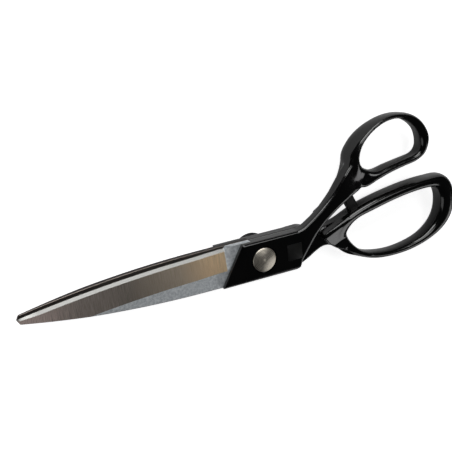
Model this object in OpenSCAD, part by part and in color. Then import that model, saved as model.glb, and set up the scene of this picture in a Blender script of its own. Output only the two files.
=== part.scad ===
// Fabric shears, closed, lying flat with the pivot axis upright.
// +X runs from the pivot to the handles, +Y towards the thumb loop, +Z from the nut to the screw head.
// The origin is the centre of the nut's flat outer face.
// Both halves are drawn about the parting plane between the blades, and then lifted by parting_z.

/* [Blades] */
// Distance from the pivot axis to the blade tip
blade_reach = 133; // [110:1:160]
// Thickness of the blade stock
blade_t = 3; // [2:0.1:4]
// How far the cutting edge falls towards the tip
edge_fall = 8.9; // [6:0.1:9.5]
// How far the back rises towards the tip
back_rise = 8.9; // [6:0.1:9.5]
// Thickness left at the cutting edge by the broad ground facet
facet_edge_t = 0.9; // [0.4:0.1:1.4]
// Width of the broad ground facet, measured back from the cutting edge
facet_w = 12; // [8:0.5:15]
// Width of the polished strip along the cutting edge
bevel_w = 1.6; // [0.8:0.1:3]
// Width of the tang that is cast into the handle
tang_w = 15; // [12:0.5:17]
// Distance from the pivot axis to the end of the tang
tang_reach = 18; // [14:0.5:20]
// Diameter of the two anchor holes in the tang
anchor_d = 3.4; // [2.5:0.1:4]

/* [Handles] */
// Width of the handle casting at the pivot
body_w = 22; // [19:0.5:27]
// Thickness of one handle casting, from the parting plane to its outer face
body_t = 6.2; // [5:0.1:8]
// Distance from the pivot axis to where the castings start to narrow
body_reach = 21.5; // [20:0.5:24]
// Size of the chamfer round the outer face at the pivot
body_chamfer = 0.8; // [0.3:0.1:1.5]
// How square the section of the loops is: 2 is an ellipse
loop_square = 2.4; // [2:0.1:4]

/* [Pivot] */
// Diameter of the screw shank
shank_d = 8; // [6:0.1:9]
// Diameter of the threaded end of the screw
thread_d = 6; // [4:0.1:6.5]
// Diameter of the domed screw head
head_d = 13.6; // [11:0.1:16]
// Height of the cylindrical part of the screw head
head_rim_t = 1.2; // [0.8:0.1:2]
// Height of the dome on the screw head
head_dome_t = 0.9; // [0.3:0.1:1.5]
// Clearance round the screw head in its counterbore
head_gap = 0.8; // [0.3:0.1:1.2]
// Depth of the counterbore for the screw head
counterbore_t = 1.5; // [1:0.1:2.2]
// Diameter of the nut
nut_d = 20.4; // [17:0.1:23]
// Thickness of the nut's disc
nut_t = 4.2; // [2.5:0.1:6]
// Diameter of the nut's threaded barrel
barrel_d = 9.6; // [9.2:0.1:11]
// Thickness of the wave washer under the nut, and of the space that it fills
wave_washer_t = 0.9; // [0.5:0.1:1.5]
// Thickness of the thin washer under the screw head
head_washer_t = 0.5; // [0.3:0.1:0.8]
// Thickness of the friction washer between the blades
friction_washer_t = 0.8; // [0.4:0.1:1.2]
// Diameter of the friction washer between the blades
friction_washer_d = 18; // [14:0.5:20]

/* [Trim] */
// Side of the square size label
label_w = 9; // [6:0.5:11]
// Thickness of the size label
label_t = 0.2; // [0.1:0.1:0.4]
// Width of the stop bumper along the handle
bumper_w = 5.5; // [4:0.5:8]
// Thickness of the stop bumper
bumper_t = 5; // [3:0.5:6]

/* [Fits] */
// Space between the two halves at the parting plane
parting_gap = 0.2; // [0.1:0.05:0.4]
// Running clearance on the radius of each turning fit
running_fit = 0.05; // [0.02:0.01:0.1]

/* [Hidden] */
$fn = 64;
round_fn = 96;
curve_fn = 720;
half_gap = parting_gap / 2;
plate_z = half_gap + blade_t;
parting_z = body_t + wave_washer_t + nut_t;
half_w = body_w / 2;
// where the slanted front edge of the casting meets the lower and the upper side
slant_low_x = -24.7;
slant_high_x = -11.8;
// where the casting wraps down round the blade
wrap_x = -6;
// where the broad facet stops short of the casting
facet_end_x = -20.5;
// where the long curves of the edge and the back run parallel to the blade
edge_crest = [-18, half_w - 1.2];
back_crest = [-30, -half_w + 0.1];
edge_r = arc_radius(blade_reach + edge_crest.x, edge_fall);
back_r = arc_radius(blade_reach + back_crest.x, back_rise);
counterbore_floor_z = body_t - counterbore_t;
head_seat_z = counterbore_floor_z + head_washer_t;
end_gap = 0.1;
// how far the nut's barrel reaches into the rear handle, just short of the blade
barrel_t = body_t - plate_z - end_gap;
nut_floor_t = 1.4;
thread_end_z = nut_floor_t + 0.6 - parting_z;
spanner_hole_d = 2.2;
spanner_hole_t = 1.6;
// middle, lean and length of the stop bumper, which ends just short of the closed thumb shank
bumper_at = [58.2, 17];
bumper_angle = 26;
bumper_h = 10;
// distance from the pivot axis to the middle of the size label
label_x = 18.4;
// how much smaller the three washers are than what they lie under or in
head_washer_inset = 0.6;
friction_washer_inset = 0.2;
wave_washer_inset = 3;
washer_seat_t = (friction_washer_t + 2 * running_fit - parting_gap) / 2;
// how far back from the tip the blade's two long curves take over its outline
tip_run = 23;
// tip corners of the blade: upper, foremost and lower, measured from the nominal tip
tip_points = [[-blade_reach, 1.8], [-blade_reach - 0.3, 0.1], [-blade_reach + 1.6, -3.2]];
// direction at which the ring that cuts the facet starts, and the angle that it covers
edge_from = 89;
edge_span = 12;
// half the clear height left under the edge strip where it meets the facet
strip_step = 0.1;
// where the pivot block's long bevels end, and the width of its lower bevel
bevel_end = body_reach - 2;
low_bevel = 1.5 * body_chamfer;
// lower right corner of each casting at the pivot, rounded in three points
corner_points = [[body_reach - 1.5, -half_w], [body_reach + 0.3, -half_w + 1.2],
                 [body_reach + 1.3, -half_w + 3.6]];
// place of the anchor holes in the tang, and the corner cut off its end
anchor_at = [tang_reach - 4, 4];
tang_corner = 2;
// outline of the tang from its lower to its upper root
tang_points = [[wrap_x, -tang_w / 2], [tang_reach - tang_corner, -tang_w / 2],
               [tang_reach, tang_corner - tang_w / 2], [tang_reach, tang_w / 2 - tang_corner],
               [tang_reach - tang_corner, tang_w / 2], [wrap_x, tang_w / 2]];
// how much thinner each side of the loops' roots is than the body
root_inset = 0.4;
loop_steps = 4;
loop_sides = 14;

// Stations round the thumb loop: outer point, inner point, how much thinner each side is than the body
thumb_loop = [
  [[54.2, 43.6], [63.4, 42.4], 0.2],
  [[58.6, 51.6], [64.9, 48.3], 0.3],
  [[65.8, 57.3], [68.9, 53.1], 0.6],
  [[74.0, 60.9], [75.5, 57.1], 1.3],
  [[82.6, 62.8], [82.9, 59.4], 1.9],
  [[91.0, 62.6], [90.4, 59.3], 2],
  [[99.7, 60.0], [97.0, 55.6], 1.8],
  [[106.4, 54.2], [101.5, 50.6], 1.5],
  [[109.9, 45.8], [103.3, 45.2], 1.2],
  [[107.4, 37.3], [103.2, 40.6], 1.4],
  [[101.0, 33.2], [100.0, 37.4], 1.6],
  [[92.3, 31.6], [91.6, 36.0], 1.6],
  [[83.4, 29.8], [82.5, 34.6], 1.4],
  [[75.0, 27.4], [74.4, 33.1], 1],
  [[66.0, 24.6], [69.0, 34.6], 0.5],
  [[57.0, 30.0], [65.0, 37.9], 0.2]
];

// Stations round the finger loop: outer point, inner point, how much thinner each side is than the body
finger_loop = [
  [[44.5, 0.5], [54.4, 0.0], 0.2],
  [[49.0, 9.2], [56.5, 5.0], 0.2],
  [[58.5, 14.2], [61.5, 8.6], 0.2],
  [[70.5, 17.6], [71.5, 11.0], 0.3],
  [[84.5, 20.2], [85.3, 13.8], 0.4],
  [[97.0, 21.7], [97.3, 15.4], 0.4],
  [[108.5, 22.2], [107.6, 15.8], 0.4],
  [[118.8, 21.5], [112.8, 14.6], 0.3],
  [[124.6, 15.2], [115.2, 11.2], 0.2],
  [[126.0, 5.5], [115.9, 5.5], 0.2],
  [[123.8, -3.5], [114.5, -1.0], 0.4],
  [[117.8, -10.8], [110.6, -6.6], 0.8],
  [[107.8, -16.1], [103.8, -11.4], 1.2],
  [[96.0, -19.3], [94.6, -14.2], 1.5],
  [[83.5, -20.2], [83.6, -15.5], 1.6],
  [[72.0, -19.0], [73.0, -14.6], 1.6],
  [[61.5, -15.3], [63.8, -11.9], 1.3],
  [[51.4, -9.9], [57.6, -6.4], 0.6]
];

// Upper and lower edge of the thumb shank, from the pivot to the loop
thumb_shank_upper = [[body_reach, half_w], [body_reach + 3.7, half_w + 1.1], [29, 14.3], [33.9, 17.6],
                     [38.7, 21.6], [43.6, 26.6], [48.4, 32.8], [52.2, 39.5], [56, 47]];
thumb_shank_lower = [corner_points[2], [27.9, -0.9], [32.7, 5.2], [37.5, 10], [41.9, 13.4], [48, 17.5],
                     [56, 22], [63, 25]];
// Outline of the full thickness root of the thumb loop
thumb_root = [[36.5, 15.2], [44.5, 20.6], [50.5, 28], [54.5, 35.5], [57, 43.5], [58.5, 42.5], [61, 35],
              [66, 31],
              [65.5, 26.5], [56, 22.5], [48, 18], [42.5, 14.4]];

// Upper and lower edge of the finger shank, from the pivot to the loop
finger_shank_upper = [[body_reach, half_w], [body_reach + 4, half_w], [body_reach + 7.5, half_w - 1],
                      [32.5, 8.2], [36.5, 7.2], [42, 7.4], [48, 9.2], [54, 11.5]];
finger_shank_lower = [[body_reach, -half_w], [body_reach + 4, -half_w + 0.4], [30, -8.7], [34, -6.4],
                      [37.5, -4.7], [41, -4], [44.5, -4.7], [48, -7.2], [52, -9.4]];
// Outline of the full thickness root of the finger loop
finger_root = [[37.6, 4.2], [44, 7.2], [51, 10.2], [54, 11.2], [51.5, 5], [50.5, 0], [51.5, -5], [53, -8.5],
               [48.5, -6.8], [44, -4], [40.4, -0.6]];

// Radius of an arc that leaves its tangent by rise over run
function arc_radius(run, rise) = (run * run + rise * rise) / (2 * rise);

// Catmull-Rom value between b and c, with t from 0 to 1
function blend4(a, b, c, d, t) =
  0.5 * (2 * b + (c - a) * t + (2 * a - 5 * b + 4 * c - d) * t * t + (3 * b - a - 3 * c + d) * t * t * t);

// Smooth closed run of stations through the given ones
function smooth_ring(s, steps) = [
  for (i = [0 : len(s) - 1])
    for (k = [0 : steps - 1])
      let (n = len(s), a = s[(i + n - 1) % n], b = s[i], c = s[(i + 1) % n], d = s[(i + 2) % n],
           t = k / steps)
        [blend4(a[0], b[0], c[0], d[0], t), blend4(a[1], b[1], c[1], d[1], t),
         blend4(a[2], b[2], c[2], d[2], t)]
];

// Superellipse coordinate: sine or cosine value v raised to suit the loop section
function squared(v) = sign(v) * pow(abs(v), 2 / loop_square);

// A closed loop whose section fills the space between its outer and inner stations
module loop(stations) {
  ring = smooth_ring(stations, loop_steps);
  count = len(ring);
  points = [
    for (s = ring)
      for (k = [0 : loop_sides - 1])
        let (a = 360 * (k + 0.5) / loop_sides, mid = (s[0] + s[1]) / 2, reach = (s[0] - s[1]) / 2)
          [mid.x + reach.x * squared(cos(a)), mid.y + reach.y * squared(cos(a)),
           (body_t - s[2]) * squared(sin(a))]
  ];
  faces = [
    for (i = [0 : count - 1])
      for (k = [0 : loop_sides - 1])
        let (i2 = (i + 1) % count, k2 = (k + 1) % loop_sides)
          each [
            [i * loop_sides + k, i2 * loop_sides + k2, i * loop_sides + k2],
            [i * loop_sides + k, i2 * loop_sides + k, i2 * loop_sides + k2]
          ]
  ];
  polyhedron(points, faces);
}

// A flat prism between two heights
module slab(outline, z0, z1) {
  translate([0, 0, z0])
    linear_extrude(z1 - z0)
      polygon(outline);
}

// A cutter that breaks the straight outer edge from p to q, with the casting on its left
module edge_cut(p, q, size) {
  run = q - p;
  translate([p.x, p.y, body_t])
    rotate([0, 0, atan2(run.y, run.x)])
      rotate([45, 0, 0])
        cube([2 * norm(run) + 2 * size, size * sqrt(2), size * sqrt(2)], center = true);
}

// Blade blank seen from its outer side, cutting edge towards +Y, inner face on the parting plane
module blade_plate() {
  tip_x = -blade_reach;
  intersection() {
    slab(concat(tip_points, [[tip_x + tip_run, -half_w], [wrap_x, -half_w]], tang_points,
                [[wrap_x, half_w], [facet_end_x, half_w], [tip_x + tip_run, half_w]]), half_gap, plate_z);
    union() {
      translate([edge_crest.x, edge_crest.y - edge_r, 0])
        cylinder(h = body_t, r = edge_r, $fn = curve_fn);
      slab([[facet_end_x, -half_w], [tang_reach, -half_w], [tang_reach, half_w], [facet_end_x, half_w]],
           0, body_t);
    }
    union() {
      translate([back_crest.x, back_crest.y + back_r, 0])
        cylinder(h = body_t, r = back_r, $fn = curve_fn);
      slab([[back_crest.x, -half_w], [tang_reach, -half_w], [tang_reach, half_w], [back_crest.x, half_w]],
           0, body_t);
    }
  }
}

// Ring cutter that follows the curve of the cutting edge
module edge_ring(profile) {
  translate([edge_crest.x, edge_crest.y - edge_r, 0])
    rotate([0, 0, edge_from])
      rotate_extrude(angle = edge_span, $fn = curve_fn)
        translate([edge_r, 0])
          polygon(profile);
}

// One blade with its broad facet, edge strip, pivot hole, washer seat and anchor holes
module blade() {
  spare = 2;
  difference() {
    blade_plate();
    intersection() {
      union() {
        edge_ring([[-facet_w, plate_z], [0, half_gap + facet_edge_t], [spare, half_gap + facet_edge_t],
                   [spare, plate_z + spare], [-facet_w, plate_z + spare]]);
        edge_ring([[-bevel_w, plate_z], [-bevel_w, half_gap + facet_edge_t + strip_step],
                   [0, half_gap + strip_step],
                   [spare, half_gap + strip_step], [spare, plate_z + spare]]);
      }
      slab([[-2 * blade_reach, -body_w], [facet_end_x, -body_w], [facet_end_x, body_w],
            [-2 * blade_reach, body_w]], -spare, body_t);
    }
    cylinder(h = 4 * body_t, d = shank_d + 2 * running_fit, center = true);
    washer_seat();
    for (side = [-1, 1])
      translate([anchor_at.x, side * anchor_at.y, 0])
        cylinder(h = 4 * body_t, d = anchor_d, center = true);
  }
}

// Cutter for the shallow seat of the friction washer in the inner face of a half
module washer_seat() {
  spare = 0.05;
  translate([0, 0, half_gap - spare])
    cylinder(h = spare + washer_seat_t, d = friction_washer_d + 2 * running_fit, $fn = round_fn);
}

// Solid casting round the pivot, before the blade and the screw are let into it
module pivot_block() {
  difference() {
    union() {
      slab(concat([[slant_low_x, -half_w]], corner_points, [[body_reach, half_w], [slant_high_x, half_w]]),
           plate_z, body_t);
      slab(concat([[wrap_x, -half_w]], corner_points, [[body_reach, half_w], [wrap_x, half_w]]),
           half_gap, plate_z);
    }
    edge_cut([slant_low_x, -half_w], [bevel_end, -half_w], low_bevel);
    edge_cut([bevel_end, half_w], [slant_high_x, half_w], body_chamfer);
    edge_cut([slant_high_x, half_w], [slant_low_x, -half_w], body_chamfer);
  }
}

// The pocket that the tang fills, less the two cast plugs in its anchor holes
module tang_pocket() {
  spare = 2;
  difference() {
    slab(concat([[slant_low_x - spare, -half_w - spare], [wrap_x, -half_w - spare]], tang_points,
                [[wrap_x, half_w + spare], [slant_low_x - spare, half_w + spare]]), half_gap - spare,
                    plate_z);
    for (side = [-1, 1])
      translate([anchor_at.x, side * anchor_at.y, half_gap])
        cylinder(h = blade_t, d = anchor_d);
  }
}

// Puts a piece drawn about the parting plane at its height above the nut face
module lifted() {
  translate([0, 0, parting_z])
    children();
}

// Turns a piece of the front half over to the rear half
module turned_over() {
  rotate([180, 0, 0])
    children();
}

module thumb_handle() {
  color("#16161a")
    lifted()
      difference() {
        union() {
          pivot_block();
          slab(concat(thumb_shank_upper, [for (i = [len(thumb_shank_lower) - 1 : -1 : 0]) thumb_shank_lower[i]]),
               half_gap, body_t);
          slab(thumb_root, root_inset - body_t, body_t - root_inset);
          loop(thumb_loop);
        }
        tang_pocket();
        washer_seat();
        cylinder(h = 4 * body_t, d = shank_d, center = true);
        translate([0, 0, counterbore_floor_z])
          cylinder(h = body_t, d = head_d + 2 * head_gap, $fn = round_fn);
      }
}

module finger_handle() {
  color("#16161a")
    lifted()
      difference() {
        union() {
          turned_over()
            pivot_block();
          slab(concat(finger_shank_upper,
                      [for (i = [len(finger_shank_lower) - 1 : -1 : 0]) finger_shank_lower[i]]),
               -body_t, -half_gap);
          slab(finger_root, root_inset - body_t, body_t - root_inset);
          loop(finger_loop);
        }
        turned_over()
          tang_pocket();
        turned_over()
          washer_seat();
        cylinder(h = 4 * body_t, d = barrel_d + 2 * running_fit, center = true);
        bumper_block();
      }
}

module front_blade() {
  color("#9a9ca0")
    lifted()
      blade();
}

module rear_blade() {
  color("#9a9ca0")
    lifted()
      turned_over()
        blade();
}

// Screw with a domed head, a plain shank through both blades and a threaded end
module pivot_screw() {
  color("#b9b6ae")
    lifted()
      union() {
        translate([0, 0, head_seat_z])
          cylinder(h = head_rim_t, d = head_d, $fn = round_fn);
        translate([0, 0, head_seat_z + head_rim_t])
          head_dome();
        translate([0, 0, -plate_z])
          cylinder(h = head_seat_z + plate_z, d = shank_d);
        translate([0, 0, thread_end_z])
          cylinder(h = -thread_end_z, d = thread_d);
      }
}

// Shallow cap of a large ball, as wide as the head's rim
module head_dome() {
  ball_r = (pow(head_d / 2, 2) + pow(head_dome_t, 2)) / (2 * head_dome_t);
  intersection() {
    translate([0, 0, head_dome_t - ball_r])
      sphere(r = ball_r, $fn = round_fn);
    cylinder(h = 2 * head_dome_t, d = head_d, $fn = round_fn);
  }
}

// Flat washer that stands at the height z0
module washer(z0, t, d, bore_d) {
  translate([0, 0, z0])
    difference() {
      cylinder(h = t, d = d, $fn = round_fn);
      cylinder(h = 3 * t, d = bore_d, center = true);
    }
}

module head_washer() {
  color("#8c8c8a")
    lifted()
      washer(counterbore_floor_z, head_washer_t, head_d - head_washer_inset, shank_d);
}

module friction_washer() {
  color("#d8d2c0")
    lifted()
      washer(-friction_washer_t / 2, friction_washer_t, friction_washer_d - friction_washer_inset,
             shank_d + 4 * running_fit);
}

module wave_washer() {
  color("#8c8c8a")
    lifted()
      washer(-body_t - wave_washer_t, wave_washer_t, nut_d - wave_washer_inset, barrel_d + 4 * running_fit);
}

// Nut with a broad disc, two spanner holes and a threaded barrel that turns in the rear handle
module pivot_nut() {
  color("#2a2a2c")
    difference() {
      union() {
        cylinder(h = nut_t, d = nut_d, $fn = round_fn);
        cylinder(h = nut_t + wave_washer_t + barrel_t, d = barrel_d);
      }
      translate([0, 0, nut_floor_t])
        cylinder(h = parting_z, d = thread_d + 2 * running_fit);
      for (side = [-1, 1])
        translate([side * nut_d / 3, 0, -nut_t])
          cylinder(h = nut_t + spanner_hole_t, d = spanner_hole_d);
    }
}

// Block of the stop bumper, standing in its seat in the finger handle
module bumper_block() {
  translate([bumper_at.x, bumper_at.y, 0])
    rotate([0, 0, bumper_angle])
      cube([bumper_w, bumper_h, bumper_t], center = true);
}

module stop_bumper() {
  color("#101010")
    lifted()
      bumper_block();
}

module size_label() {
  color("#303236")
    lifted()
      translate([label_x - label_w / 2, -label_w / 2, body_t])
        cube([label_w, label_w, label_t]);
}

thumb_handle();
front_blade();
finger_handle();
rear_blade();
pivot_screw();
head_washer();
friction_washer();
wave_washer();
pivot_nut();
stop_bumper();
size_label();
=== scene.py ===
"""Fabric shears, closed and lying flat.

Two enamelled castings, two ground blades, and the parts of the pivot between them.
"""
import math

import bmesh
import bpy
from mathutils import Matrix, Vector


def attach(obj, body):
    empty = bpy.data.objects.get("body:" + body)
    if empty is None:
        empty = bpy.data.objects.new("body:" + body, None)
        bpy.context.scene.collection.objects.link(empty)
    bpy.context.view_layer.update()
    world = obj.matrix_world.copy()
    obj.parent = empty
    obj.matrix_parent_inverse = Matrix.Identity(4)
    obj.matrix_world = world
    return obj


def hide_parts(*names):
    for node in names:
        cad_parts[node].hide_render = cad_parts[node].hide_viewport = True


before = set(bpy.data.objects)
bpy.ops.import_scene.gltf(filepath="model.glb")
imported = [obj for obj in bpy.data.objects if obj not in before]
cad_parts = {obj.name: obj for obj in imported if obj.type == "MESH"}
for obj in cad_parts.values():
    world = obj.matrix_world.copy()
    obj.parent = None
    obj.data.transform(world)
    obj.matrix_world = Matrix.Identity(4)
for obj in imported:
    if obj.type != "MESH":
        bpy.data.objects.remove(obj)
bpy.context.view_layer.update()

# ---------------------------------------------------------------- sizes, in millimetres
MM = 0.001
PARTING = 11.3  # height of the plane between the two blades
HALF_GAP = 0.1
BODY_T = 6.2
PLATE = 3.1  # outer face of a blade, above the parting plane
HALF_W = 11.0
BODY_END = 21.5
TANG_HALF = 7.5
TANG_END = 18.0
TANG_CORNER = 2.0
WRAP = -6.0  # from here the casting wraps round the blade
SLANT = [(-24.7, -HALF_W), (-11.8, HALF_W)]  # front edge of the casting
CORNER = [(20.0, -11.0), (21.8, -9.8), (22.8, -7.4)]
BEVEL_END = 19.5
LOW_BEVEL, BEVEL = 1.2, 0.8
VOXEL = 0.42  # size of the grid that joins a casting's forms into one skin

# holes round the screw, and the two that anchor each tang
HEAD_SEAT = (0, 0, 7.6, 4.7, 8.0)  # x, y, radius, lowest and highest point
THUMB_BORE = (0, 0, 4.0, 2.0, 5.5)
NUT_BORE = (0, 0, 4.85, -8.0, -2.0)
BLADE_BORE = (0, 0, 4.05, -5, 5)
RING_SEAT_R = 9.05
RING_SEAT_DEEP = HALF_GAP + 0.35
ANCHOR_X, ANCHOR_Y, ANCHOR_R = 14, 4, 1.7

# blade: where it ends, and the arcs of its edge and back
TIP_X = -133.3
EDGE_R, BACK_R = 747.4, 600.5
EDGE_TOP, EDGE_FROM = 9.8, -18
BACK_LOW, BACK_FROM = -10.9, -30
PLUNGE_END, PLUNGE_RUN = -20.6, 3.6  # where the facet starts to run out, and over what length
EDGE_T = 1.0  # thickness that the facet would have at the edge without the strip
FACET_RISE = 0.175
STRIP_W, FACET_W = 1.6, 12.0

LABEL_MID = (18.4, 0.0)
LABEL_HALF, LABEL_CORNER = 4.0, 0.5
BUMPER_AT, BUMPER_TURN = (58.2, 17), 26
BUMPER_HALF = (2.75, 5, 2.5)

# loops: outer point, inner point, half the thickness there; a lean for each; then the shanks and their roots
THUMB_LOOP = [
    (54.2, 43.6, 63.4, 42.4, 6.0), (58.6, 51.6, 64.9, 48.3, 5.9), (65.8, 57.3, 68.9, 53.1, 5.6),
    (74.0, 60.9, 75.5, 57.1, 4.9), (82.6, 62.8, 82.9, 59.4, 4.3), (91.0, 62.6, 90.4, 59.3, 4.2),
    (99.7, 60.0, 97.0, 55.6, 4.4), (106.4, 54.2, 101.5, 50.6, 4.7), (109.9, 45.8, 103.3, 45.2, 5.0),
    (107.4, 37.3, 103.2, 40.6, 4.8), (101.0, 33.2, 100.0, 37.4, 4.6), (92.3, 31.6, 91.6, 36.0, 4.6),
    (83.4, 29.8, 82.5, 34.6, 4.8), (75.0, 27.4, 74.4, 33.1, 5.2), (66.0, 24.6, 69.0, 34.6, 5.7),
    (57.0, 30.0, 65.0, 37.9, 6.0),
]
FINGER_LOOP = [
    (44.5, 0.5, 54.4, 0.0, 6.0), (49.0, 9.2, 56.5, 5.0, 6.0), (58.5, 14.2, 61.5, 8.6, 6.0),
    (70.5, 17.6, 71.5, 11.0, 5.9), (84.5, 20.2, 85.3, 13.8, 5.8), (97.0, 21.7, 97.3, 15.4, 5.8),
    (108.5, 22.2, 107.6, 15.8, 5.8), (118.8, 21.5, 112.8, 14.6, 5.9), (124.6, 15.2, 115.2, 11.2, 6.0),
    (125.8, 5.5, 115.9, 5.5, 6.0), (123.8, -3.5, 114.5, -1.0, 5.8), (117.8, -10.8, 110.6, -6.6, 5.4),
    (107.8, -16.1, 103.8, -11.4, 5.0), (96.0, -19.3, 94.6, -14.2, 4.7), (83.5, -20.1, 83.6, -15.5, 4.6),
    (72.0, -19.0, 73.0, -14.6, 4.6), (61.5, -15.3, 63.8, -11.9, 4.9), (51.4, -9.9, 57.6, -6.4, 5.6),
]
THUMB_LEAN = (0.36, 0.46, 0.42, 0.25, 0.10, 0.05, 0, 0, 0, 0, 0, 0, 0, 0, 0, 0.15)
FINGER_LEAN = (0.05, 0.0, 0.0, 0, 0, 0, 0, 0, 0, 0, 0, 0.05, 0.1, 0.15, 0.2, 0.3, 0.4, 0.42)
THUMB_UPPER = [
    (21.5, 11.0), (25.2, 12.1), (29.0, 14.3), (33.9, 17.6), (38.7, 21.6), (43.6, 26.6),
    (48.4, 32.8), (53.4, 39.0), (60.0, 44.5),
]
THUMB_LOWER = [
    (22.8, -7.4), (27.9, -0.9), (32.7, 5.2), (37.5, 10.0), (41.9, 13.4), (48.0, 17.5),
    (56.0, 22.0), (63.0, 25.0),
]
THUMB_ROOT = [
    (36.5, 15.2), (44.5, 20.6), (50.5, 28.0), (54.5, 35.5), (57.0, 43.0), (58.8, 42.0),
    (61.3, 35.0), (66.0, 31.0), (65.5, 26.5), (56.0, 22.5), (48.0, 18.0), (42.5, 14.4),
]
FINGER_UPPER = [
    (21.5, 11.0), (25.5, 11.1), (29.0, 10.0), (32.5, 8.2), (36.5, 7.2), (42.0, 7.4),
    (48.0, 9.2), (54.0, 11.5),
]
FINGER_LOWER = [
    (21.5, -11.0), (25.5, -10.6), (30.0, -8.7), (34.0, -6.4), (37.5, -4.7), (41.0, -4.0),
    (44.5, -4.7), (48.0, -7.2), (52.0, -9.4),
]
FINGER_ROOT = [
    (37.6, 4.2), (44.0, 7.2), (51.0, 10.2), (54.0, 11.2), (51.5, 5.0), (50.5, 0.0),
    (51.5, -5.0), (53.0, -8.5), (48.5, -6.8), (44.0, -4.0), (40.4, -0.6),
]


# ---------------------------------------------------------------- mesh helpers
def spline(points, steps, closed):
    """Catmull-Rom curve through tuples of any length."""
    n = len(points)
    out = []
    spans = n if closed else n - 1
    for i in range(spans):
        near = [(i + k) % n if closed else min(max(i + k, 0), n - 1) for k in (-1, 0, 1, 2)]
        a, b, c, d = (points[k] for k in near)
        for s in range(steps):
            t = s / steps
            out.append(tuple(
                0.5 * (2 * q + (r - p) * t + (2 * p - 5 * q + 4 * r - w) * t * t
                       + (3 * q - p - 3 * r + w) * t ** 3)
                for p, q, r, w in zip(a, b, c, d)
            ))
    if not closed:
        out.append(tuple(points[-1]))
    return out


def at(bm, x, y, z):
    """A vertex given in millimetres, with z measured from the parting plane."""
    return bm.verts.new((x * MM, y * MM, (z + PARTING) * MM))


def turn_over(bm):
    """Turns a form half round about the long axis, for the rear half of the shears."""
    for v in bm.verts:
        v.co.y = -v.co.y
        v.co.z = 2 * PARTING * MM - v.co.z


def skin(bm, rings, join_ends=False):
    """Quads between closed rings of vertices; returns rows of faces."""
    rows = []
    count = len(rings)
    for i in range(count if join_ends else count - 1):
        a, b = rings[i], rings[(i + 1) % count]
        n = len(a)
        row = []
        for k in range(n):
            k2 = (k + 1) % n
            row.append(bm.faces.new((a[k], a[k2], b[k2], b[k])))
        rows.append(row)
    return rows


def circle(x, y, r, count, turn=0.0):
    angles = (2 * math.pi * (k + turn) / count for k in range(count))
    return [(x + r * math.cos(a), y + r * math.sin(a)) for a in angles]


def prism(bm, outline, z0, z1):
    low = [at(bm, x, y, z0) for x, y in outline]
    high = [at(bm, x, y, z1) for x, y in outline]
    skin(bm, [low, high])
    bm.faces.new(low)
    bm.faces.new(high)


def make_object(name, bm, materials=()):
    bmesh.ops.recalc_face_normals(bm, faces=bm.faces[:])
    mesh = bpy.data.meshes.new(name)
    bm.to_mesh(mesh)
    bm.free()
    obj = bpy.data.objects.new(name, mesh)
    bpy.context.scene.collection.objects.link(obj)
    for m in materials:
        mesh.materials.append(m)
    return obj


def bake_modifiers(obj):
    """Replaces the mesh by its modified form and drops the modifiers."""
    bpy.context.view_layer.update()
    mesh = bpy.data.meshes.new_from_object(obj.evaluated_get(bpy.context.evaluated_depsgraph_get()))
    obj.modifiers.clear()
    old = obj.data
    obj.data = mesh
    bpy.data.meshes.remove(old)


def crease_shade(obj, degrees):
    """Smooth shading, with edges sharper than the angle kept crisp."""
    bm = bmesh.new()
    bm.from_mesh(obj.data)
    limit = math.radians(degrees)
    for f in bm.faces:
        f.smooth = True
    for e in bm.edges:
        e.smooth = not (len(e.link_faces) == 2 and e.calc_face_angle(0.0) > limit)
    bm.to_mesh(obj.data)
    bm.free()


def cut_round(obj, holes):
    """Cuts round holes: x, y, radius, and the two heights of each."""
    for x, y, r, z0, z1 in holes:
        bm = bmesh.new()
        prism(bm, circle(x, y, r, 96, 0.5), z0, z1)
        cutter = make_object("cutter", bm)
        mod = obj.modifiers.new("hole", "BOOLEAN")
        mod.operation = "DIFFERENCE"
        mod.solver = "EXACT"
        mod.object = cutter
        bake_modifiers(obj)
        bpy.data.objects.remove(cutter)


def lathe(name, profile, steps=128, wobble=None, closed=False):
    """Turns a profile of (radius, height) pairs; wobble may change a point by its step and angle."""
    bm = bmesh.new()
    rings = []
    for r, z in profile:
        ring = []
        for k in range(steps):
            a = 2 * math.pi * k / steps
            rr, zz = wobble(r, z, k, a) if wobble else (r, z)
            ring.append(at(bm, rr * math.cos(a), rr * math.sin(a), zz))
        rings.append(ring)
    skin(bm, rings, join_ends=closed)
    if not closed:
        bm.faces.new(rings[0])
        bm.faces.new(rings[-1])
    return make_object(name, bm)


def stand_for(obj, body, node):
    """Puts a finished piece in the place of its plain node."""
    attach(obj, body)
    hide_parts(node)


# ---------------------------------------------------------------- shader groups
def new_group(name, inputs, outputs):
    tree = bpy.data.node_groups.new(name, "ShaderNodeTree")
    for label, value in inputs:
        s = tree.interface.new_socket(name=label, in_out="INPUT", socket_type="NodeSocketFloat")
        s.default_value = value
    for label in outputs:
        tree.interface.new_socket(name=label, in_out="OUTPUT", socket_type="NodeSocketFloat")
    return tree, tree.nodes.new("NodeGroupInput"), tree.nodes.new("NodeGroupOutput")


def math_node(tree, op, a, b=None, c=None):
    n = tree.nodes.new("ShaderNodeMath")
    n.operation = op
    for socket, value in zip(n.inputs, (a, b, c)):
        if value is None:
            continue
        if isinstance(value, (int, float)):
            socket.default_value = value
        else:
            tree.links.new(value, socket)
    return n.outputs[0]


def object_place(tree):
    return tree.nodes.new("ShaderNodeTexCoord").outputs["Object"]


def split_place(tree):
    """The place along, across and up the object, as three values."""
    sep = tree.nodes.new("ShaderNodeSeparateXYZ")
    tree.links.new(object_place(tree), sep.inputs[0])
    return sep.outputs


def fine_noise(tree, vector, detail):
    n = tree.nodes.new("ShaderNodeTexNoise")
    n.inputs["Scale"].default_value = 1.0
    n.inputs["Detail"].default_value = detail
    tree.links.new(vector.outputs[0], n.inputs["Vector"])
    return n


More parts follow.
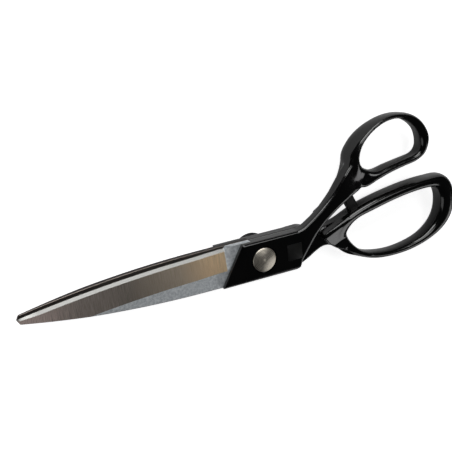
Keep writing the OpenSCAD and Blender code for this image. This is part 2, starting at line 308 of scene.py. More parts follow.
def even_noise(tree, scale, detail):
    n = tree.nodes.new("ShaderNodeTexNoise")
    n.inputs["Detail"].default_value = detail
    tree.links.new(object_place(tree), n.inputs["Vector"])
    if isinstance(scale, (int, float)):
        n.inputs["Scale"].default_value = scale
    else:
        tree.links.new(scale, n.inputs["Scale"])
    return n.outputs["Fac"]


def make_groups():
    """Effects that several finishes share; a noise that becomes a mask is stretched to about 0 to 1."""
    groups = {}
    tree, gi, go = new_group("orange_peel", [("Fineness", 900.0), ("Depth", 0.5)], ["Height", "Specks"])
    ripple = even_noise(tree, gi.outputs["Fineness"], 2.0)
    tree.links.new(math_node(tree, "MULTIPLY", ripple, gi.outputs["Depth"]), go.inputs["Height"])
    specks = even_noise(tree, 6000.0, 1.0)
    tree.links.new(math_node(tree, "MULTIPLY_ADD", specks, 4.0, -2.1), go.inputs["Specks"])
    groups["orange_peel"] = tree

    tree, gi, go = new_group("grind_lines", [("Across", 900.0), ("Along", 30.0), ("Depth", 1.0)],
                             ["Height", "Streaks"])
    place = split_place(tree)
    com = tree.nodes.new("ShaderNodeCombineXYZ")
    tree.links.new(math_node(tree, "MULTIPLY", place[0], gi.outputs["Across"]), com.inputs[0])
    tree.links.new(math_node(tree, "MULTIPLY", place[1], gi.outputs["Along"]), com.inputs[1])
    n = fine_noise(tree, com, 4.0)
    n.inputs["Roughness"].default_value = 0.7
    tree.links.new(math_node(tree, "MULTIPLY", n.outputs["Fac"], gi.outputs["Depth"]), go.inputs["Height"])
    tree.links.new(math_node(tree, "MULTIPLY_ADD", n.outputs["Fac"], 2.4, -0.7), go.inputs["Streaks"])
    groups["grind_lines"] = tree

    tree, gi, go = new_group("handling_haze", [("Patch", 40.0), ("Amount", 0.1), ("Base", 0.2)],
                             ["Roughness", "Mask"])
    haze = even_noise(tree, gi.outputs["Patch"], 5.0)
    tree.links.new(math_node(tree, "MULTIPLY_ADD", haze, gi.outputs["Amount"], gi.outputs["Base"]),
                   go.inputs["Roughness"])
    tree.links.new(math_node(tree, "MULTIPLY_ADD", haze, 3.0, -1.0), go.inputs["Mask"])
    groups["handling_haze"] = tree

    tree, gi, go = new_group("turned_rings", [("Rings", 9000.0), ("Depth", 0.5)], ["Height", "Bands"])
    place = split_place(tree)
    radius = math_node(tree, "SQRT", math_node(
        tree, "ADD", math_node(tree, "MULTIPLY", place[0], place[0]),
        math_node(tree, "MULTIPLY", place[1], place[1])))
    wave = math_node(tree, "SINE", math_node(tree, "MULTIPLY", radius, gi.outputs["Rings"]))
    com = tree.nodes.new("ShaderNodeCombineXYZ")
    tree.links.new(math_node(tree, "MULTIPLY", radius, 2600.0), com.inputs[0])
    mixed = math_node(tree, "MULTIPLY_ADD", wave, 0.25, fine_noise(tree, com, 3.0).outputs["Fac"])
    tree.links.new(math_node(tree, "MULTIPLY", mixed, gi.outputs["Depth"]), go.inputs["Height"])
    tree.links.new(math_node(tree, "MULTIPLY_ADD", mixed, 2.4, -0.7), go.inputs["Bands"])
    groups["turned_rings"] = tree
    return groups


GROUPS = make_groups()


# ---------------------------------------------------------------- materials
def start_material(name, metallic=0.0, coat=0.0, coat_rough=0.05):
    mat = bpy.data.materials.new(name)
    mat.use_nodes = True
    tree = mat.node_tree
    bsdf = next(n for n in tree.nodes if n.type == "BSDF_PRINCIPLED")
    bsdf.inputs["Metallic"].default_value = metallic
    bsdf.inputs["Coat Weight"].default_value = coat
    bsdf.inputs["Coat Roughness"].default_value = coat_rough
    return mat, tree, bsdf


def use(tree, name, **values):
    g = tree.nodes.new("ShaderNodeGroup")
    g.node_tree = GROUPS[name]
    for k, v in values.items():
        g.inputs[k].default_value = v
    return g.outputs


def colours(tree, bsdf, factor, low, high):
    m = tree.nodes.new("ShaderNodeMix")
    m.data_type = "RGBA"
    m.clamp_factor = True
    m.inputs[6].default_value = (*low, 1)
    m.inputs[7].default_value = (*high, 1)
    tree.links.new(factor, m.inputs[0])
    tree.links.new(m.outputs[2], bsdf.inputs["Base Color"])


def bump(tree, bsdf, height, distance):
    b = tree.nodes.new("ShaderNodeBump")
    b.inputs["Distance"].default_value = distance
    b.inputs["Strength"].default_value = 1.0
    tree.links.new(height, b.inputs["Height"])
    tree.links.new(b.outputs[0], bsdf.inputs["Normal"])


def enamel():
    """Glossy black baked enamel, with the faint ripple of a dipped coat."""
    mat, tree, bsdf = start_material("black_enamel", coat=0.6, coat_rough=0.06)
    haze = use(tree, "handling_haze", Patch=60.0, Amount=0.10, Base=0.10)
    peel = use(tree, "orange_peel", Fineness=420.0, Depth=0.6)
    colours(tree, bsdf, haze["Mask"], (0.0006, 0.0006, 0.0006), (0.0016, 0.0015, 0.0013))
    tree.links.new(haze["Roughness"], bsdf.inputs["Roughness"])
    bump(tree, bsdf, peel["Height"], 0.00006)
    return mat


def steel(name, low, high, rough, across, along, depth, spread=0.12):
    mat, tree, bsdf = start_material(name, metallic=1.0)
    lines = use(tree, "grind_lines", Across=across, Along=along, Depth=1.0)
    haze = use(tree, "handling_haze", Patch=30.0, Amount=spread, Base=rough - spread / 2)
    colours(tree, bsdf, lines["Streaks"], low, high)
    tree.links.new(haze["Roughness"], bsdf.inputs["Roughness"])
    bump(tree, bsdf, lines["Height"], depth)
    return mat


FACET_START, FACET_LONG = 0.018, 0.115  # where the painted reflection's colours start and over what length they run, in metres
# painted reflection: colours along the blade, warm and bright by the casting, dark in the middle, brighter
# towards the tip
FACET_REFLECTION_STOPS = (
    (0.0, (0.98, 0.74, 0.46)), (0.16, (0.86, 0.64, 0.41)), (0.30, (0.50, 0.42, 0.33)),
    (0.55, (0.26, 0.23, 0.20)), (0.78, (0.36, 0.31, 0.28)), (1.0, (0.76, 0.62, 0.57)),
)


def facet_painted_reflection():
    """Ground across the blade, with a painted reflection in its colour: warm by the casting, dull in the
    middle, brighter again towards the tip.
    """
    mat, tree, bsdf = start_material("ground_facet_painted_reflection", metallic=1.0)
    lines = use(tree, "grind_lines", Across=2600.0, Along=90.0, Depth=1.0)
    haze = use(tree, "handling_haze", Patch=30.0, Amount=0.10, Base=0.38)
    along = math_node(tree, "MULTIPLY_ADD", split_place(tree)[0], -1 / FACET_LONG, -FACET_START / FACET_LONG)
    place = math_node(tree, "MULTIPLY_ADD", lines["Streaks"], 0.10, along)
    ramp = tree.nodes.new("ShaderNodeValToRGB")
    for i, (place_at, colour) in enumerate(FACET_REFLECTION_STOPS):
        stop = ramp.color_ramp.elements[i] if i < 2 else ramp.color_ramp.elements.new(place_at)
        stop.position = place_at
        stop.color = (*colour, 1)
    tree.links.new(place, ramp.inputs[0])
    shade = tree.nodes.new("ShaderNodeMix")
    shade.data_type = "RGBA"
    shade.blend_type = "MULTIPLY"
    shade.inputs[0].default_value = 0.55
    tree.links.new(ramp.outputs[0], shade.inputs[6])
    tree.links.new(math_node(tree, "ADD", lines["Streaks"], 0.35), shade.inputs[7])
    tree.links.new(shade.outputs[2], bsdf.inputs["Base Color"])
    tree.links.new(haze["Roughness"], bsdf.inputs["Roughness"])
    bump(tree, bsdf, lines["Height"], 0.00002)
    return mat


def blasted_finish():
    """Bead-blasted flat: fine bright and dull grains."""
    mat, tree, bsdf = start_material("blasted_flat", metallic=1.0)
    peel = use(tree, "orange_peel", Fineness=2200.0, Depth=1.0)
    haze = use(tree, "handling_haze", Patch=700.0, Amount=0.2, Base=0.50)
    factor = math_node(tree, "MULTIPLY_ADD", peel["Specks"], 0.5, haze["Mask"])
    colours(tree, bsdf, factor, (0.66, 0.70, 0.73), (0.93, 0.96, 0.98))
    tree.links.new(haze["Roughness"], bsdf.inputs["Roughness"])
    bump(tree, bsdf, peel["Height"], 0.00003)
    return mat


def turned(name, low, high, rough, rings, depth):
    mat, tree, bsdf = start_material(name, metallic=1.0)
    rows = use(tree, "turned_rings", Rings=rings, Depth=1.0)
    haze = use(tree, "handling_haze", Patch=120.0, Amount=0.1, Base=rough - 0.05)
    colours(tree, bsdf, rows["Bands"], low, high)
    tree.links.new(haze["Roughness"], bsdf.inputs["Roughness"])
    bump(tree, bsdf, rows["Height"], depth)
    return mat


def moulded(name, low, high, rough, fineness, depth):
    mat, tree, bsdf = start_material(name)
    haze = use(tree, "handling_haze", Patch=150.0, Amount=0.15, Base=rough - 0.07)
    peel = use(tree, "orange_peel", Fineness=fineness, Depth=1.0)
    colours(tree, bsdf, peel["Specks"], low, high)
    tree.links.new(haze["Roughness"], bsdf.inputs["Roughness"])
    bump(tree, bsdf, peel["Height"], depth)
    return mat


def label_finish():
    """Dark film with a slightly lighter blank panel inside a thin border."""
    mat, tree, bsdf = start_material("label_film")
    bsdf.inputs["Specular IOR Level"].default_value = 0.25
    place = split_place(tree)
    dx = math_node(tree, "ABSOLUTE", math_node(tree, "SUBTRACT", place[0], LABEL_MID[0] * MM))
    dy = math_node(tree, "ABSOLUTE", math_node(tree, "SUBTRACT", place[1], LABEL_MID[1] * MM))
    far = math_node(tree, "MAXIMUM", dx, dy)
    inside = math_node(tree, "LESS_THAN", far, (LABEL_HALF - 0.1) * MM)
    peel = use(tree, "orange_peel", Fineness=2500.0, Depth=1.0)
    haze = use(tree, "handling_haze", Patch=300.0, Amount=0.2, Base=0.3)
    factor = math_node(tree, "MULTIPLY_ADD", peel["Specks"], 0.2, inside)
    colours(tree, bsdf, factor, (0.0020, 0.0020, 0.0020), (0.0055, 0.0055, 0.0052))
    tree.links.new(haze["Roughness"], bsdf.inputs["Roughness"])
    bump(tree, bsdf, peel["Height"], 0.00002)
    return mat


ENAMEL = enamel()
EDGE_STRIP = steel("polished_edge_strip", (0.30, 0.30, 0.285), (0.40, 0.40, 0.385), 0.40,
                   5000.0, 300.0, 0.000004)
FACET = facet_painted_reflection()
BLASTED = blasted_finish()
# painted shade: the inner face and spine are steel darkened in their colour
SHADED_INNER_FACE = steel("ground_inner_face_painted_shade", (0.13, 0.11, 0.10), (0.24, 0.21, 0.19), 0.34, 120.0, 4200.0, 0.000015)
SHADED_SPINE = steel("ground_spine_painted_shade", (0.035, 0.031, 0.029), (0.075, 0.066, 0.060), 0.4, 300.0, 4200.0, 0.000015)
NICKEL = turned("turned_nickel", (0.42, 0.37, 0.30), (0.95, 0.89, 0.78), 0.34, 9000.0, 0.00005)
OXIDE = turned("black_oxide", (0.010, 0.010, 0.011), (0.030, 0.030, 0.031), 0.38, 9000.0, 0.00001)
WASHER = turned("washer_steel", (0.35, 0.35, 0.34), (0.6, 0.6, 0.58), 0.35, 7000.0, 0.00001)
NYLON = moulded("nylon", (0.60, 0.57, 0.49), (0.68, 0.65, 0.57), 0.5, 1500.0, 0.00001)
RUBBER = moulded("bumper_rubber", (0.0015, 0.0015, 0.0015), (0.004, 0.004, 0.004), 0.5, 1800.0, 0.00002)
LABEL = label_finish()


# ---------------------------------------------------------------- handles
LOOP_SQUARE = 2.8  # how square a loop's section is: 2 is an ellipse
LOOP_STEPS, LOOP_SIDES = 9, 48


def squared(c):
    return math.copysign(abs(c) ** (2 / LOOP_SQUARE), c)


def add_loop(bm, stations, lean, drafted):
    """A loop whose outer side leans in towards the front face by the share given for each station.

    A drafted side leans as one straight wall; otherwise only the front edge is bevelled.
    """
    rings = []
    path = spline([s + (t,) for s, t in zip(stations, lean)], LOOP_STEPS, True)
    for ox, oy, ix, iy, half, slope in path:
        mid_x, mid_y, reach_x, reach_y = (ox + ix) / 2, (oy + iy) / 2, (ox - ix) / 2, (oy - iy) / 2
        ring = []
        for c, s in circle(0, 0, 1, LOOP_SIDES, 0.5):
            u, w = squared(c), squared(s)
            share = (w + 1) / 2 + 0.35 * max(-w, 0.0) ** 2 if drafted else max(w, 0.0) ** 2
            u = (u + 1) * (1 - slope * share) - 1
            ring.append(at(bm, mid_x + reach_x * u, mid_y + reach_y * u, half * w))
        rings.append(ring)
    skin(bm, rings, join_ends=True)


def add_block(bm, front):
    """The casting round the pivot: an outer plate with broken edges, and the walls beside the tang."""
    part = bmesh.new()
    low, high = SLANT
    end = CORNER + [(BODY_END, HALF_W)]
    prism(part, [low] + end + [high], PLATE, BODY_T)
    bevels = ((low, (BEVEL_END, -HALF_W), LOW_BEVEL), ((BEVEL_END, HALF_W), high, BEVEL), (high, low, BEVEL))
    for p, q, size in bevels:
        run = Vector((q[0] - p[0], q[1] - p[1]))
        side = Vector((run.y, -run.x)).normalized()
        cut = bmesh.ops.bisect_plane(
            part, geom=part.verts[:] + part.edges[:] + part.faces[:], clear_outer=True,
            plane_co=(p[0] * MM, p[1] * MM, (BODY_T - size + PARTING) * MM), plane_no=(side.x, side.y, 1.0))
        edges = [e for e in cut["geom_cut"] if isinstance(e, bmesh.types.BMEdge)]
        bmesh.ops.contextual_create(part, geom=edges)
    inset = TANG_END - TANG_CORNER, TANG_HALF - TANG_CORNER
    pocket = [(WRAP, TANG_HALF), (inset[0], TANG_HALF), (TANG_END, inset[1]),
              (TANG_END, -inset[1]), (inset[0], -TANG_HALF), (WRAP, -TANG_HALF)]
    prism(part, [(WRAP, -HALF_W)] + end + [(WRAP, HALF_W)] + pocket, HALF_GAP, PLATE + 0.3)
    if not front:
        turn_over(part)
    spare = bpy.data.meshes.new("spare")
    bmesh.ops.recalc_face_normals(part, faces=part.faces[:])
    part.to_mesh(spare)
    part.free()
    bm.from_mesh(spare)
    bpy.data.meshes.remove(spare)


def add_shank(bm, upper, lower, front, upper_break, lower_break):
    """The shank's slab; each break is the bevel's width at the pivot and at the loop, and its depth there."""
    rows = []
    for points, turn, (first, last, deep) in ((upper, 1, upper_break), (lower, -1, lower_break)):
        row = []
        final = len(points) - 1
        for i, (x, y) in enumerate(points):
            p, q = points[max(i - 1, 0)], points[min(i + 1, final)]
            run = Vector((q[0] - p[0], q[1] - p[1])).normalized()
            grow = ease((i / final - 0.35) / 0.6)
            size = first + (last - first) * grow
            depth = first + (deep - first) * grow
            sink = 0.8 * ease((i / final - 0.75) / 0.25)
            row.append((x, y, x + turn * run.y * size, y - turn * run.x * size, depth, sink))
        start = row[0][0] - 2.5
        rows.append([(start, row[0][1], start, row[0][3], first, 0.0)] + row)
    outline = rows[0] + rows[1][::-1]
    sign = 1 if front else -1
    rings = [
        [at(bm, x, y, sign * HALF_GAP) for x, y, _, _, _, _ in outline],
        [at(bm, x, y, sign * (BODY_T - depth)) for x, y, _, _, depth, _ in outline],
        [at(bm, u, v, sign * (BODY_T - sink)) for _, _, u, v, _, sink in outline],
    ]
    skin(bm, rings)
    bm.faces.new(rings[0])
    bm.faces.new(rings[2])


def ease(t):
    t = min(max(t, 0.0), 1.0)
    return t * t * (3 - 2 * t)


def scoop(obj, x, y, reach, depth):
    """Hollows both faces of a casting round one place."""
    for v in obj.data.vertices:
        d = ((v.co.x / MM - x) ** 2 + (v.co.y / MM - y) ** 2) / reach ** 2
        if d < 6:
            z = v.co.z / MM - PARTING
            v.co.z -= z / BODY_T * depth * math.exp(-d) * MM


def tilt_root(obj, steep):
    """Slopes the front face of the finger loop's root down from the ridge that runs along its upper side."""
    for v in obj.data.vertices:
        x, y, z = v.co.x / MM, v.co.y / MM, v.co.z / MM - PARTING
        below = 1.6 + 0.438 * (x - 37.1) - y
        if z > 0 and 36 < x < 68 and below > 0:
            v.co.z -= steep * min(below, 9.0) * (1 - ease((x - 50) / 18)) * ease(z / 4) * MM


def weight_by(obj, name, rule):
    group = obj.vertex_groups.new(name=name)
    for v in obj.data.vertices:
        w = rule(v.co.x / MM, v.co.y / MM)
        if w > 0:
            group.add([v.index], min(w, 1.0), "REPLACE")


def soften(obj, name, iterations, rule=None):
    """Smooths the skin, everywhere or by a rule that gives each place its share."""
    if rule:
        weight_by(obj, name, rule)
    mod = obj.modifiers.new(name, "SMOOTH")
    mod.factor = 0.5
    mod.iterations = iterations
    if rule:
        mod.vertex_group = name


def cast_handle(name, front, stations, lean, flow_from, upper, lower, breaks, root, hollows, holes):
    """One casting: loop, block, shank and root, joined into one skin, softened, hollowed and bored.

    It softens fully from 9 mm past flow_from on. The root's slab stays 0.5 mm short of the side towards the
    other half and 1.6 mm short of the outer side.
    """
    bm = bmesh.new()
    add_loop(bm, stations, lean, front)
    add_block(bm, front)
    add_shank(bm, spline(upper, 6, False), spline(lower, 6, False), front, *breaks)
    below, above = (0.5, 1.6) if front else (1.6, 0.5)
    prism(bm, spline(root, 5, True), below - BODY_T, BODY_T - above)
    obj = make_object(name, bm)
    remesh = obj.modifiers.new("skin", "REMESH")
    remesh.mode = "VOXEL"
    remesh.voxel_size = VOXEL * MM
    bake_modifiers(obj)
    soften(obj, "break_edges", 3)
    soften(obj, "flow", 26, lambda x, y: (x - flow_from) / 9)
    for x0, y0, reach, _ in hollows:
        spread = 2 * reach ** 2
        soften(obj, "throat", 60, lambda x, y: 1.6 * math.exp(-((x - x0) ** 2 + (y - y0) ** 2) / spread))
    bake_modifiers(obj)
    for hollow in hollows:
        scoop(obj, *hollow)
    if not front:
        tilt_root(obj, 0.30)
    cut_round(obj, holes)
    obj.data.materials.clear()
    obj.data.materials.append(ENAMEL)
    crease_shade(obj, 38)
    return obj


def anchor_plugs(name, front, body):
    """The two plugs of casting that fill the anchor holes of a tang."""
    bm = bmesh.new()
    sign = 1 if front else -1
    for side in (-1, 1):
        rings = []
        for r, z in ((1.2, 0.25), (1.5, 0.15), (1.6, 0.35), (1.62, PLATE + 0.1)):
            rings.append([at(bm, x, y, sign * z) for x, y in circle(ANCHOR_X, ANCHOR_Y * side, r, 32)])
        skin(bm, rings)
        bm.faces.new(rings[0])
        bm.faces.new(rings[-1])
    obj = make_object(name, bm, [ENAMEL])
    crease_shade(obj, 40)
    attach(obj, body)


thumb = cast_handle(
    "thumb_handle_casting", True, THUMB_LOOP, THUMB_LEAN, 22, THUMB_UPPER, THUMB_LOWER,
    ((0.8, 1.8, 5.0), (1.0, 1.4, 1.4)), THUMB_ROOT, [(66.0, 31.0, 5.6, 2.2)],
    [HEAD_SEAT, THUMB_BORE, (0, 0, RING_SEAT_R, -0.5, RING_SEAT_DEEP)])
stand_for(thumb, "thumb_half", "thumb_handle")

finger = cast_handle(
    "finger_handle_casting", False, FINGER_LOOP, FINGER_LEAN, 42, FINGER_UPPER, FINGER_LOWER,
    ((0.8, 1.0, 1.0), (1.2, 1.4, 1.4)), FINGER_ROOT, [],
    [NUT_BORE, (0, 0, RING_SEAT_R, -RING_SEAT_DEEP, 0.5)])
stand_for(finger, "finger_half", "finger_handle")

anchor_plugs("thumb_anchor_plugs", True, "thumb_half")
anchor_plugs("finger_anchor_plugs", False, "finger_half")


# ---------------------------------------------------------------- blades
def edge_y(x):
    """The cutting edge's line: an arc that ends at the nose, with a step up behind the facet."""
    if x >= WRAP - 0.01:
        return TANG_HALF - max(0.0, x - (TANG_END - TANG_CORNER))
    y = EDGE_TOP - EDGE_R + math.sqrt(EDGE_R ** 2 - min(x - EDGE_FROM, 0) ** 2)
    y += ease((x + 21.0) / 1.6) * (HALF_W - EDGE_TOP) - 0.55 * ease((-x - 21.0) / 20)
    return min(y, 0.15 + 5.67 * (x - TIP_X))


def back_y(x):
    """The back's line: an arc that ends at the nose."""
    if x >= WRAP - 0.01:
        return -edge_y(x)
    y = BACK_LOW + BACK_R - math.sqrt(BACK_R ** 2 - min(x - BACK_FROM, 0) ** 2)
    return max(y - ease((x - BACK_FROM) / 6) * (HALF_W + BACK_LOW), 0.05 - 1.737 * (x - TIP_X))


def blade(name, front):
    """Blade with a broad ground facet, a bright strip on its edge, a rounded run-out, and its tang.

    Each ring runs from the edge over the strip and facet to the back, and home along the inner face.
    """
    xs = [-133.29, -133.24, -133.15, -133.0, -132.7, -132.3, -131.8]
    xs += [-131.2 + 1.2 * k for k in range(91)]
    xs += [-22.4 + 0.25 * k for k in range(30)]
    xs += [-14.5, -12, -9, -6.02, -5.99, 0, 6, 12, 16, 17, 18]
    xs = sorted(set(xs))
    bm = bmesh.new()
    rings = []
    for x in xs:
        e, s = edge_y(x), back_y(x)
        width = e - s
        ground = 1 - ease((x - PLUNGE_END) / PLUNGE_RUN) if x > PLUNGE_END else 1.0
        strip = min(STRIP_W, 0.28 * width)
        broad = min(FACET_W, width - min(0.3, 0.1 * width))
        edge_round = min(0.3, 0.12 * width)
        cuts = [0.0, strip * 0.5, strip] + [strip + (broad - strip) * k / 8 for k in range(1, 9)]
        ring = [at(bm, x, e, HALF_GAP)]
        full = PLATE if width > 1 else HALF_GAP + 0.9
        for d in cuts:
            if d > strip - 1e-6:
                z = min(EDGE_T + FACET_RISE * d, full)
            else:
                z = 0.2 + (EDGE_T - 0.2 + FACET_RISE * strip) * d / strip
            ring.append(at(bm, x, e - d, ground * z + (1 - ground) * full))
        top = min(EDGE_T + FACET_RISE * width, full) * ground + (1 - ground) * full
        spine = ((edge_round, top), (0.3 * edge_round, top - 0.3 * edge_round), (0, top - edge_round),
                 (0, HALF_GAP + 0.5 * edge_round), (0.5 * edge_round, HALF_GAP))
        ring += [at(bm, x, s + inward, z) for inward, z in spine]
        ring += [at(bm, x, s + (width * k / 4), HALF_GAP) for k in range(1, 4)]
        rings.append(ring)
    rows = skin(bm, rings)
    bm.faces.new(rings[0])
    bm.faces.new(rings[-1])
    # the spine and inner-face steels carry painted shade in their colour
    finishes = [EDGE_STRIP] * 3 + [FACET] * 8 + [BLASTED] + [SHADED_SPINE] * 3 + [SHADED_INNER_FACE] * 5
    order = [EDGE_STRIP, FACET, BLASTED, SHADED_INNER_FACE, SHADED_SPINE]
    for x, row in zip(xs, rows):
        for k, f in enumerate(row):
            past_facet = x > PLUNGE_END - 0.1 and k < 11
            f.material_index = order.index(BLASTED if past_facet else finishes[k])
    if not front:
        turn_over(bm)
    obj = make_object(name, bm, order)
    seat = (-1.0, RING_SEAT_DEEP) if front else (-RING_SEAT_DEEP, 1.0)
    anchors = [(ANCHOR_X, side * ANCHOR_Y, ANCHOR_R, -5, 5) for side in (1, -1)]
    cut_round(obj, [BLADE_BORE, (0, 0, RING_SEAT_R, *seat)] + anchors)
    crease_shade(obj, 6)
    return obj


stand_for(blade("front_blade_ground", True), "thumb_half", "front_blade")
stand_for(blade("rear_blade_ground", False), "finger_half", "rear_blade")


# ---------------------------------------------------------------- pivot
HEAD_R, DOME_BASE, DOME_RISE = 6.8, 6.4, 0.9
THREAD_TOP, THREAD_PITCH, THREAD_TURNS = -3.3, 0.55, 11


def screw():
    """Domed head with the small dimple of the lathe's centre, plain shank and threaded end."""
    dome = [(r, DOME_BASE + DOME_RISE * (1 - (r / HEAD_R) ** 2)) for r in (1.0, 2.0, 3.0, 4.0, 5.0, 5.8, 6.4)]
    profile = [(0.1, 7.13), (0.35, 7.15), (0.6, 7.24)] + dome
    profile += [(6.65, 6.38), (6.78, 6.2), (HEAD_R, 6.0), (HEAD_R, 5.35), (6.65, 5.2)]
    profile += [(4.0, 5.2), (4.0, -2.9), (3.8, -3.1)]
    for k in range(THREAD_TURNS):
        z = THREAD_TOP - THREAD_PITCH * k
        profile += [(2.66, z), (2.98, z - 0.27)]
    profile += [(2.4, -9.3)]
    return lathe("pivot_screw_turned", profile)


KNURL_DEEP = 0.22
WRENCH_X, WRENCH_R, WRENCH_DEEP = 6.8, 1.1, 1.6


def nut():
    """Broad nut with a collar, a knurled rim and two wrench holes, measured up from its outer face."""
    def knurl(r, z, k, a):
        return (r - (KNURL_DEEP if k % 2 else 0.0), z) if 9.9 < r and -10.9 < z < -7.5 else (r, z)

    profile = [
        (0.4, 1.5), (3.0, 1.4), (3.05, 1.6), (3.05, 8.0), (3.2, 8.1), (4.65, 8.1), (4.8, 7.95), (4.8, 4.25),
        (9.6, 4.2), (10.0, 4.1), (10.2, 3.75), (10.2, 0.55), (10.05, 0.2), (9.7, 0.0), (5.0, 0.0),
        (4.6, 0.15), (0.4, 0.15),
    ]
    obj = lathe("pivot_nut_turned", [(r, z - PARTING) for r, z in profile], steps=192, wobble=knurl)
    low, high = -PARTING - 1, WRENCH_DEEP - PARTING
    cut_round(obj, [(WRENCH_X, 0, WRENCH_R, low, high), (-WRENCH_X, 0, WRENCH_R, low, high)])
    return obj


def ring(name, inner, outer, z0, z1, waves=0, thick=None):
    """A washer with rounded edges, which may be bent into waves."""
    thick = thick or z1 - z0
    swing = (z1 - z0 - thick) / 2
    mid = (z0 + z1) / 2
    h = thick / 2
    e = min(0.12, h * 0.6)
    half_way = (inner + outer) / 2
    profile = [(inner, mid - h + e), (inner + e, mid - h), (half_way, mid - h), (outer - e, mid - h),
               (outer, mid - h + e), (outer, mid + h - e), (outer - e, mid + h), (half_way, mid + h),
               (inner + e, mid + h), (inner, mid + h - e)]
    bend = (lambda r, z, k, a: (r, z + swing * math.cos(waves * a))) if waves else None
    return lathe(name, profile, wobble=bend, closed=True)


for turned_piece, finish, slot, body, node in (
    (screw(), NICKEL, "turned_nickel", "thumb_half", "pivot_screw"),
    (nut(), OXIDE, "black_oxide", "nut", "pivot_nut"),
    (ring("head_washer_ring", 4.02, 6.5, 4.7, 5.2), WASHER, "washer_steel", "thumb_half", "head_washer"),
    (ring("friction_washer_ring", 4.1, 8.9, -0.4, 0.4), NYLON, "nylon", "finger_half", "friction_washer"),
    (ring("wave_washer_ring", 4.9, 8.7, -7.1, -6.2, 3, 0.36), WASHER, "washer_steel", "finger_half",
     "wave_washer"),
):
    turned_piece.data.materials.append(finish)
    crease_shade(turned_piece, 30)
    stand_for(turned_piece, body, node)


# ---------------------------------------------------------------- bumper and label
def bumper():
    bm = bmesh.new()
    c, s = math.cos(math.radians(BUMPER_TURN)), math.sin(math.radians(BUMPER_TURN))
    wide, long, high = BUMPER_HALF
    outline = []
    for u, v in ((-wide, -long), (wide, -long), (wide, long), (-wide, long)):
        outline.append((BUMPER_AT[0] + u * c - v * s, BUMPER_AT[1] + u * s + v * c))
    prism(bm, outline, -high, high)
    bmesh.ops.recalc_face_normals(bm, faces=bm.faces[:])
    bmesh.ops.bevel(bm, geom=bm.edges[:], offset=0.45 * MM, segments=4, profile=0.5, affect="EDGES")
    obj = make_object("stop_bumper_pad", bm, [RUBBER])
    crease_shade(obj, 35)
    stand_for(obj, "finger_half", "stop_bumper")


def label():
    bm = bmesh.new()
    outline = []
    for cx, cy, start in ((1, 1, 0), (-1, 1, 90), (-1, -1, 180), (1, -1, 270)):
        for k in range(7):
            a = math.radians(start + 15 * k)
            outline.append((LABEL_MID[0] + cx * LABEL_HALF + LABEL_CORNER * math.cos(a),
                            LABEL_MID[1] + cy * LABEL_HALF + LABEL_CORNER * math.sin(a)))
    prism(bm, outline, BODY_T - 0.05, BODY_T + 0.2)
    bmesh.ops.recalc_face_normals(bm, faces=bm.faces[:])
    rim = [e for e in bm.edges if all(v.co.z > (PARTING + BODY_T + 0.1) * MM for v in e.verts)]
    bmesh.ops.bevel(bm, geom=rim, offset=0.06 * MM, segments=2, profile=0.5, affect="EDGES")
    obj = make_object("size_label_film", bm, [LABEL])
    crease_shade(obj, 35)
    stand_for(obj, "thumb_half", "size_label")


bumper()
label()


# ---------------------------------------------------------------- studio, in metres
FLOOR_HALF, FLOOR_Z = 4, -0.0002
SEEN_GLOW, HIDDEN_GLOW = 0.80, 0.03  # the floor's own light, as looked at and as it falls on the shears
WORLD_LIGHT = 0.02
LIGHTS = (  # name, place, size, power
    ("soft_top", (-0.10, 1.00, 0.60), (1.0, 0.6), 7.5),
    ("soft_high", (0.30, 0.45, 1.10), (0.6, 0.5), 2.6),
    ("soft_side", (-0.90, -0.30, 0.50), (0.5, 0.9), 1.0),
    ("soft_fill", (0.85, -0.75, 0.55), (0.8, 0.5), 1.8),
)
LIGHTS_AIM = (0, 0.01, 0.01)
CAMERA_PLACE, CAMERA_TURN, CAMERA_LENS = (-0.2150, 0.1993, 0.4616), (-17.493, -25.422, -5.722), 79.65


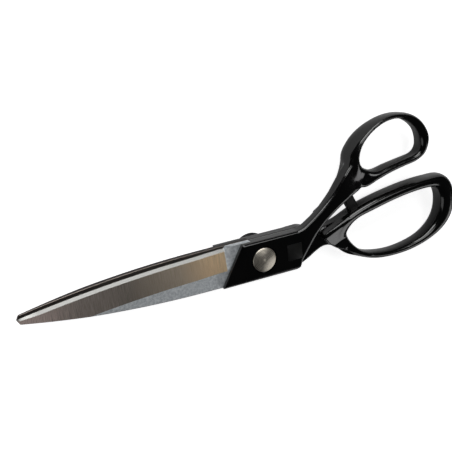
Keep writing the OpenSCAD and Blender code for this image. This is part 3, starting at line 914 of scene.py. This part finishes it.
def add_floor():
    """A pale floor that is seen through from below."""
    bm = bmesh.new()
    corners = [(-1, -1), (1, -1), (1, 1), (-1, 1)]
    bm.faces.new([bm.verts.new((FLOOR_HALF * x, FLOOR_HALF * y, FLOOR_Z)) for x, y in corners])
    mat, tree, bsdf = start_material("pale_floor")
    colours(tree, bsdf, use(tree, "handling_haze", Patch=3.0, Amount=0.1, Base=0.8)["Mask"],
            (0.80, 0.80, 0.80), (0.82, 0.82, 0.82))
    bsdf.inputs["Roughness"].default_value = 0.9
    bsdf.inputs["Specular IOR Level"].default_value = 0.1
    bsdf.inputs["Emission Color"].default_value = (1, 1, 1, 1)
    path = tree.nodes.new("ShaderNodeLightPath")
    tree.links.new(math_node(tree, "MULTIPLY_ADD", path.outputs["Is Camera Ray"], SEEN_GLOW, HIDDEN_GLOW),
                   bsdf.inputs["Emission Strength"])
    clear = tree.nodes.new("ShaderNodeBsdfTransparent")
    either = tree.nodes.new("ShaderNodeMixShader")
    side = tree.nodes.new("ShaderNodeNewGeometry")
    tree.links.new(side.outputs["Backfacing"], either.inputs[0])
    tree.links.new(bsdf.outputs[0], either.inputs[1])
    tree.links.new(clear.outputs[0], either.inputs[2])
    tree.links.new(either.outputs[0], next(n for n in tree.nodes if n.type == "OUTPUT_MATERIAL").inputs[0])
    floor = make_object("floor", bm, [mat])
    if floor.data.polygons[0].normal.z < 0:
        floor.data.flip_normals()


def add_lights():
    world = bpy.data.worlds.new("studio")
    bpy.context.scene.world = world
    world.use_nodes = True
    back = next(n for n in world.node_tree.nodes if n.type == "BACKGROUND")
    back.inputs[0].default_value = (0.9, 0.95, 1.0, 1)
    back.inputs[1].default_value = WORLD_LIGHT
    for name, place, size, energy in LIGHTS:
        lamp = bpy.data.lights.new(name, "AREA")
        lamp.shape = "RECTANGLE"
        lamp.size, lamp.size_y = size
        lamp.energy = energy
        obj = bpy.data.objects.new(name, lamp)
        obj.location = place
        obj.rotation_euler = (Vector(LIGHTS_AIM) - Vector(place)).to_track_quat("-Z", "Y").to_euler()
        bpy.context.scene.collection.objects.link(obj)


def add_camera():
    cam = bpy.data.cameras.new("camera")
    cam.type = "PERSP"
    cam.sensor_width = 36.0
    cam.lens = CAMERA_LENS
    obj = bpy.data.objects.new("camera", cam)
    obj.location = CAMERA_PLACE
    obj.rotation_euler = [math.radians(turn) for turn in CAMERA_TURN]
    bpy.context.scene.collection.objects.link(obj)
    bpy.context.scene.camera = obj
    bpy.context.scene.view_settings.view_transform = "Standard"


add_floor()
add_lights()
add_camera()
